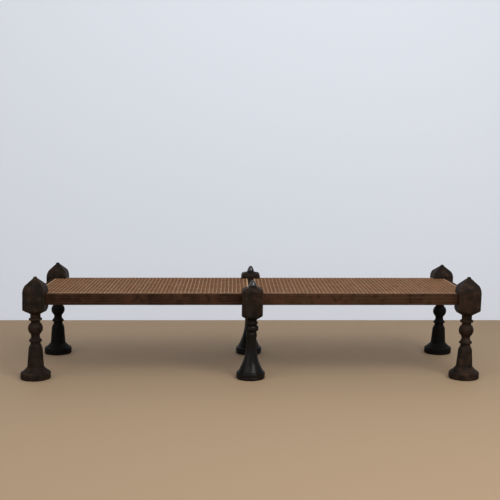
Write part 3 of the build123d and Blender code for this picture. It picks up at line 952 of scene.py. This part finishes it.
def age_group():
    """Where stain is rubbed off, where polish and dust have gathered, and fine scratches."""
    tree, given = new_group("age", Wear=0.0, Hollow=0.0)
    vector = given["Vector"]
    broad = noise_at(tree, vector, 9.0)
    fine = noise_at(tree, vector, 120.0, 4.0, 0.65)
    patch = plus(tree, fine, 0.6, times(tree, broad, 0.5))
    hollow = ramp(tree, given["Hollow"], 0.1, 0.9)
    streaks = noise_at(tree, stretched(tree, vector, (60, 900, 240)), 1.0, 2.0)
    return put_out(
        tree,
        Rubbed=ramp(tree, plus(tree, given["Wear"], 0.5, patch), 0.75, 1.2),
        Grime=times(tree, hollow, ramp(tree, fine, 0.25, 0.7), clamp=True),
        Blotch=ramp(tree, plus(tree, fine, 0.25, broad), 0.45, 0.85),
        Patches=noise_at(tree, vector, 36.0, 2.0, 0.5),
        Scratches=ramp(tree, streaks, 0.66, 0.74),
    )


GROUPS = {"wood_grain": wood_grain_group, "age": age_group}


def group_node(tree, group, **values):
    """Places a shader group, which is built the first time, with these values."""
    node = tree.nodes.new("ShaderNodeGroup")
    node.node_tree = bpy.data.node_groups.get(group) or GROUPS[group]()
    for key, value in values.items():
        feed(tree, node.inputs[key.replace("_", " ")], value)
    return node.outputs


def new_material(name):
    """A new material, its node tree and the inputs of its Principled shader."""
    material = bpy.data.materials.new(name)
    material.use_nodes = True
    tree = material.node_tree
    return material, tree, tree.nodes["Principled BSDF"].inputs


def place_on(tree):
    """Where a point lies on the bench, in metres."""
    return add(tree, "TexCoord").outputs["Object"]


def finish(tree, shader, base, rough, gloss, relief, strength, depth):
    """Gives the shader its colour, roughness, gloss and relief."""
    tree.links.new(base, shader["Base Color"])
    tree.links.new(rough, shader["Roughness"])
    shader["Specular IOR Level"].default_value = gloss
    named = {"Strength": strength, "Distance": depth, "Height": relief}
    tree.links.new(add(tree, "Bump", named=named).outputs[0], shader["Normal"])


# How far each sign of age hides the stain beneath it, from 0 to 1.
AGE = {"brown": 0.6, "bare": 0.32, "thick": 0.6, "pores": 0.4, "rubbed": 0.42, "grime": 0.8}


def wood(name, own, grain_turn=(0, 0, 0), turned=False):
    """Dark stained, hand-rubbed wood. grain_turn turns the grain's Z to run along the piece."""
    material, tree, shader = new_material(name)
    where = place_on(tree)
    grain_way = add(tree, "Mapping", where, named={"Rotation": grain_turn}).outputs[0]
    seed, tone, wear, hollow, polish = attributes(tree, "seed", "tone", "wear", "hollow", "polish")
    grain = group_node(
        tree, "wood_grain", Vector=grain_way, Seed=seed, Ring_Spacing=own.ring_spacing
    )
    age = group_node(tree, "age", Vector=where, Wear=wear, Hollow=hollow)
    figure = plus(tree, grain["Rings"], own.ring_contrast, times(tree, grain["Fibre"], 0.7))
    figure = ramp(tree, plus(tree, tone, 0.55, figure), 0.35, 1.45)
    stained = mix(tree, figure, own.dark, own.light)
    browned = ramp(tree, tone, -0.5, 0.4)
    brown = times(tree, age["Blotch"], times(tree, browned, AGE["brown"]))
    bare = times(tree, ramp(tree, age["Patches"], 0.54, 0.72), times(tree, browned, AGE["bare"]))
    thick = times(tree, ramp(tree, age["Patches"], 0.48, 0.32), AGE["thick"])
    grime = tuple(channel * 0.45 for channel in own.dark)
    base = mix(tree, brown, stained, own.warm)
    base = mix(tree, bare, base, own.worn)
    base = mix(tree, thick, base, own.dark)
    base = mix(tree, times(tree, grain["Pores"], AGE["pores"]), base, own.dark)
    base = mix(tree, times(tree, age["Rubbed"], AGE["rubbed"]), base, own.worn)
    base = mix(tree, times(tree, age["Grime"], AGE["grime"]), base, grime)
    rough = plus(tree, grain["Fibre"], 0.22, own.roughness)
    rough = plus(tree, age["Grime"], 0.25, rough)
    rough = plus(tree, age["Scratches"], 0.12, rough)
    rough = plus(tree, polish, -0.2, rough, clamp=True)
    tree.links.new(polish, shader["Coat Weight"])
    shader["Coat Roughness"].default_value = 0.1
    shader["Coat IOR"].default_value = 1.5
    relief = times(tree, grain["Fibre"], 0.5)
    relief = plus(tree, grain["Pores"], -0.7, relief)
    relief = plus(tree, age["Scratches"], -0.4, relief)
    if turned:
        up_the_piece = add(tree, "SeparateXYZ", where).outputs[2]
        ridges = add(tree, "CombineXYZ", 0.0, 0.0, up_the_piece).outputs[0]
        relief = plus(tree, noise_at(tree, ridges, 700.0, 2.0), 0.5, relief)
    finish(tree, shader, base, rough, own.gloss, relief, 0.55, 0.0004)
    return material


def peg_material(name, own):
    """The end of a hardwood peg: fine rings and pores, stained with the leg."""
    material, tree, shader = new_material(name)
    where = place_on(tree)
    speck = noise_at(tree, where, 900.0, 3.0, 0.7)
    end_rings = noise_at(tree, where, 260.0, 2.0, 0.4)
    shade = ramp(tree, plus(tree, end_rings, 0.6, times(tree, speck, 0.5)), 0.35, 0.8)
    base = mix(tree, shade, own.dark, own.light)
    finish(tree, shader, base, plus(tree, speck, 0.3, 0.4), 0.3, speck, 0.6, 0.0004)
    return material


def cane_material(name, own, body, sheen, dulled, shade_and_soiling=0.85):
    """Aged rattan skin: long fibres, strand by strand tones and dull blotches, and painted shade with
    some dirt low between the strands.
    """
    material, tree, shader = new_material(name)
    along, tone, raised = attributes(tree, "along", "tone", "raised")
    where = place_on(tree)
    line = add(tree, "CombineXYZ", times(tree, along, 22.0), times(tree, tone, 41.0), 0.0)
    streak = noise_at(tree, line.outputs[0], 1.0)
    fibre = noise_at(tree, where, 900.0, 2.0, 0.6)
    blotch = noise_at(tree, where, 24.0, 3.0, 0.6)
    share = plus(tree, streak, 0.9, times(tree, tone, 0.45))
    share = plus(tree, fibre, 0.25, share)
    lit = mix(tree, ramp(tree, share, 0.55, 1.15), body, sheen)
    dull = ramp(tree, plus(tree, fibre, 0.35, blotch), 0.45, 0.95)
    aged = mix(tree, times(tree, dull, dulled), lit, own.shadow)
    # The lower a strand runs beneath the others, the more it goes toward the grime colour: painted
    # shade between the strands, with some real dirt
    deep = ramp(tree, raised, 1.0, 0.0)
    base = mix(tree, times(tree, deep, shade_and_soiling), aged, own.grime_and_shade)
    finish(tree, shader, base, plus(tree, fibre, 0.25, 0.42), 0.14, fibre, 0.4, 0.0002)
    return material


# ---------------------------------------------------------------- operators
class TAKHT_OT_legs(bpy.types.Operator):
    """Builds the six worn legs over their solids"""

    bl_idname = "takht.legs"
    bl_label = "Build Legs"

    def execute(self, context):
        material = wood("stained_turned_wood", settings("legs"), turned=True)
        for seed, node in enumerate(leg_names()):
            build_leg(node, seed + 1, material)
        return {"FINISHED"}


class TAKHT_OT_rails(bpy.types.Operator):
    """Builds the planed rails with their tenons"""

    bl_idname = "takht.rails"
    bl_label = "Build Rails"

    def execute(self, context):
        own = settings("rails")
        quarter = math.pi / 2
        lengthwise = wood("rail_wood_lengthwise", own, (0, quarter, 0))
        crosswise = wood("rail_wood_crosswise", own, (quarter, 0, 0))
        (far, corner_gap), (near, middle_gap) = head_faces("right")
        tones = {"front_left": 0.25, "front_right": 0.75, "back_left": -0.2, "back_right": -0.2}
        for count, (place, tone) in enumerate(tones.items()):
            sign = ENDS[place.split("_")[1]]
            shoulders = sorted((sign * (near - own.embed), sign * (far + own.embed)))
            build_rail(f"side_rail_{place}", 0, shoulders, 11 + count, tone, lengthwise)
        for count, (node, gap, tone) in enumerate(
            (
                ("end_rail_left", corner_gap, 0.2),
                ("end_rail_right", corner_gap, 0.5),
                ("cross_rail", middle_gap, -0.3),
            )
        ):
            shoulders = (-gap - own.embed, gap + own.embed)
            build_rail(node, 1, shoulders, 21 + count, tone, crosswise)
        return {"FINISHED"}


class TAKHT_OT_pegs(bpy.types.Operator):
    """Stains the ends of the pegs"""

    bl_idname = "takht.pegs"
    bl_label = "Stain Pegs"

    def execute(self, context):
        material = peg_material("stained_peg_ends", settings("legs"))
        for side in SIDES:
            for place in ("left", "middle", "right"):
                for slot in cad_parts[f"leg_pegs_{side}_{place}"].material_slots:
                    slot.material = material
        return {"FINISHED"}


class TAKHT_OT_cane(bpy.types.Operator):
    """Weaves the two panels of the seat"""

    bl_idname = "takht.cane"
    bl_label = "Weave Cane"

    def execute(self, context):
        own = settings("cane")
        # A paler copy of the cane for the front-to-back strands on top (wear from use and painted
        # light), and a darker copy for the other strands (painted shade)
        handled_lit = cane_material("lit_handled_cane", own, own.handled_lit, own.polished_lit, 0.3)
        shaded = cane_material("aged_cane_shaded_copy", own, own.body, own.sheen, 0.4)
        for end in ENDS:
            build_cane(end, handled_lit, shaded)
        return {"FINISHED"}


class TAKHT_OT_binding(bpy.types.Operator):
    """Ties the binder down over the lacing holes"""

    bl_idname = "takht.binding"
    bl_label = "Tie Binder"

    def execute(self, context):
        own = settings("cane")
        material = cane_material("aged_binder", own, own.binder, own.pale_binder, 0.15, 0.35)
        for end in ENDS:
            for edge in ("front", "back", "end", "cross_rail"):
                build_binder(f"binder_{edge}_{end}", material)
        return {"FINISHED"}


class TAKHT_OT_lacing(bpy.types.Operator):
    """Laces the cane from hole to hole under the rails"""

    bl_idname = "takht.lacing"
    bl_label = "Lace Under Rails"

    def execute(self, context):
        own = settings("cane")
        material = cane_material("lacing_cane", own, own.body, own.sheen, 0.5)
        for end in ENDS:
            build_lacing(end, material)
        return {"FINISHED"}


# Each lamp's place, what it points at, its size in metres and its power in watts.
LAMPS = {
    "window_lamp": ((1.6, -2.6, 2.6), (0, 0, 0.2), 2.0, 64),
    "fill_lamp": ((-2.6, -2.4, 1.8), (0, 0, 0.2), 2.4, 20),
    "wall_lamp": ((0, -1.6, 2.8), (0, 1.2, 0.5), 3.0, 24),
    "back_lamp": ((-1.4, 3.2, 2.2), (0, 0, 0.2), 2.4, 16),
}


def add_object(name, data, place=(0, 0, 0), turn=(0, 0, 0)):
    holder = bpy.data.objects.new(name, data)
    holder.location = place
    holder.rotation_euler = turn
    bpy.context.scene.collection.objects.link(holder)
    return holder


def add_sheet(name, corners, material):
    """Adds one flat sheet of the stage."""
    mesh = bpy.data.meshes.new(name)
    mesh.from_pydata(corners, [], [(0, 1, 2, 3)])
    mesh.materials.append(material)
    sheet = add_object(name, mesh)


def sheet_material(name, paint, roughness):
    """Plain paint that is clear from its back, so that a sheet never hides the bench."""
    material, tree, shader = new_material(name)
    shader["Base Color"].default_value = (*paint, 1)
    shader["Roughness"].default_value = roughness
    behind = add(tree, "NewGeometry").outputs["Backfacing"]
    tree.links.new(maths(tree, "SUBTRACT", 1.0, behind), shader["Alpha"])
    return material, tree, shader


class TAKHT_OT_stage(bpy.types.Operator):
    """Adds the plain floor and wall, the soft lamps and the camera"""

    bl_idname = "takht.stage"
    bl_label = "Set Stage"

    def execute(self, context):
        own = settings("stage")
        scene = context.scene
        floor, _, _ = sheet_material("floor_paint", own.floor, 0.75)
        shaded = [own.wall_shade * channel for channel in own.wall]
        wall, tree, shader = sheet_material("wall_paint", shaded, 0.9)
        path = add(tree, "LightPath").outputs
        seen = maths(tree, "ADD", path["Is Camera Ray"], path["Is Glossy Ray"])
        seen = maths(tree, "ADD", seen, path["Is Transmission Ray"], clamp=True)
        tree.links.new(times(tree, seen, own.wall_glow), shader["Emission Strength"])
        shader["Emission Color"].default_value = (*own.wall, 1)
        side, depth, height = 8.0, 7.0, 5.0
        corners = ((-1, 0), (1, 0), (1, 1), (-1, 1))
        ground = [(side * x, depth * (2 * y - 1), 0) for x, y in corners]
        add_sheet("floor", ground, floor)
        add_sheet("wall", [(side * x, own.wall_gap, height * y) for x, y in corners], wall)
        for name, (place, aim, size, power) in LAMPS.items():
            lamp = bpy.data.lights.new(name, "AREA")
            lamp.size = size
            lamp.energy = power
            way = Vector(aim) - Vector(place)
            add_object(name, lamp, place, way.to_track_quat("-Z", "Y").to_euler())
        scene.world = bpy.data.worlds.new("soft_room_light")
        scene.world.use_nodes = True
        background = scene.world.node_tree.nodes["Background"].inputs
        background["Color"].default_value = (*own.room, 1)
        background["Strength"].default_value = own.room_strength
        camera = bpy.data.cameras.new("camera")
        camera.lens = own.camera_lens
        camera.sensor_width = 36
        turns = ((own.camera_turn, "Z"), (own.camera_tilt, "X"), (own.camera_roll, "Z"))
        turn, tilt, roll = (Matrix.Rotation(size, 3, axis) for size, axis in turns)
        aim = (turn @ tilt @ roll).to_euler()
        scene.camera = add_object("camera", camera, own.camera_place, aim)
        scene.view_settings.view_transform = "Standard"
        return {"FINISHED"}


class TAKHT_PT_sidebar(bpy.types.Panel):
    bl_idname = "TAKHT_PT_sidebar"
    bl_label = "Takht"
    bl_space_type = "VIEW_3D"
    bl_region_type = "UI"
    bl_category = "Takht"

    def draw(self, context):
        for operator in OPERATORS:
            self.layout.operator(operator.bl_idname)
        for part, group in SETTINGS.items():
            box = self.layout.box()
            box.label(text=part.title())
            for key in group.__annotations__:
                box.prop(settings(part), key)


OPERATORS = (
    TAKHT_OT_legs,
    TAKHT_OT_rails,
    TAKHT_OT_pegs,
    TAKHT_OT_cane,
    TAKHT_OT_binding,
    TAKHT_OT_lacing,
    TAKHT_OT_stage,
)
CLASSES = (*SETTINGS.values(), *OPERATORS, TAKHT_PT_sidebar)


def register():
    for group in CLASSES:
        bpy.utils.register_class(group)
    for part, group in SETTINGS.items():
        setattr(bpy.types.Scene, f"takht_{part}", bpy.props.PointerProperty(type=group))


def unregister():
    for part in SETTINGS:
        delattr(bpy.types.Scene, f"takht_{part}")
    for group in reversed(CLASSES):
        bpy.utils.unregister_class(group)


def main():
    register()
    bpy.ops.takht.stage()
    bpy.ops.takht.legs()
    bpy.ops.takht.rails()
    bpy.ops.takht.pegs()
    bpy.ops.takht.cane()
    bpy.ops.takht.binding()
    bpy.ops.takht.lacing()


if __name__ == "__main__":
    main()
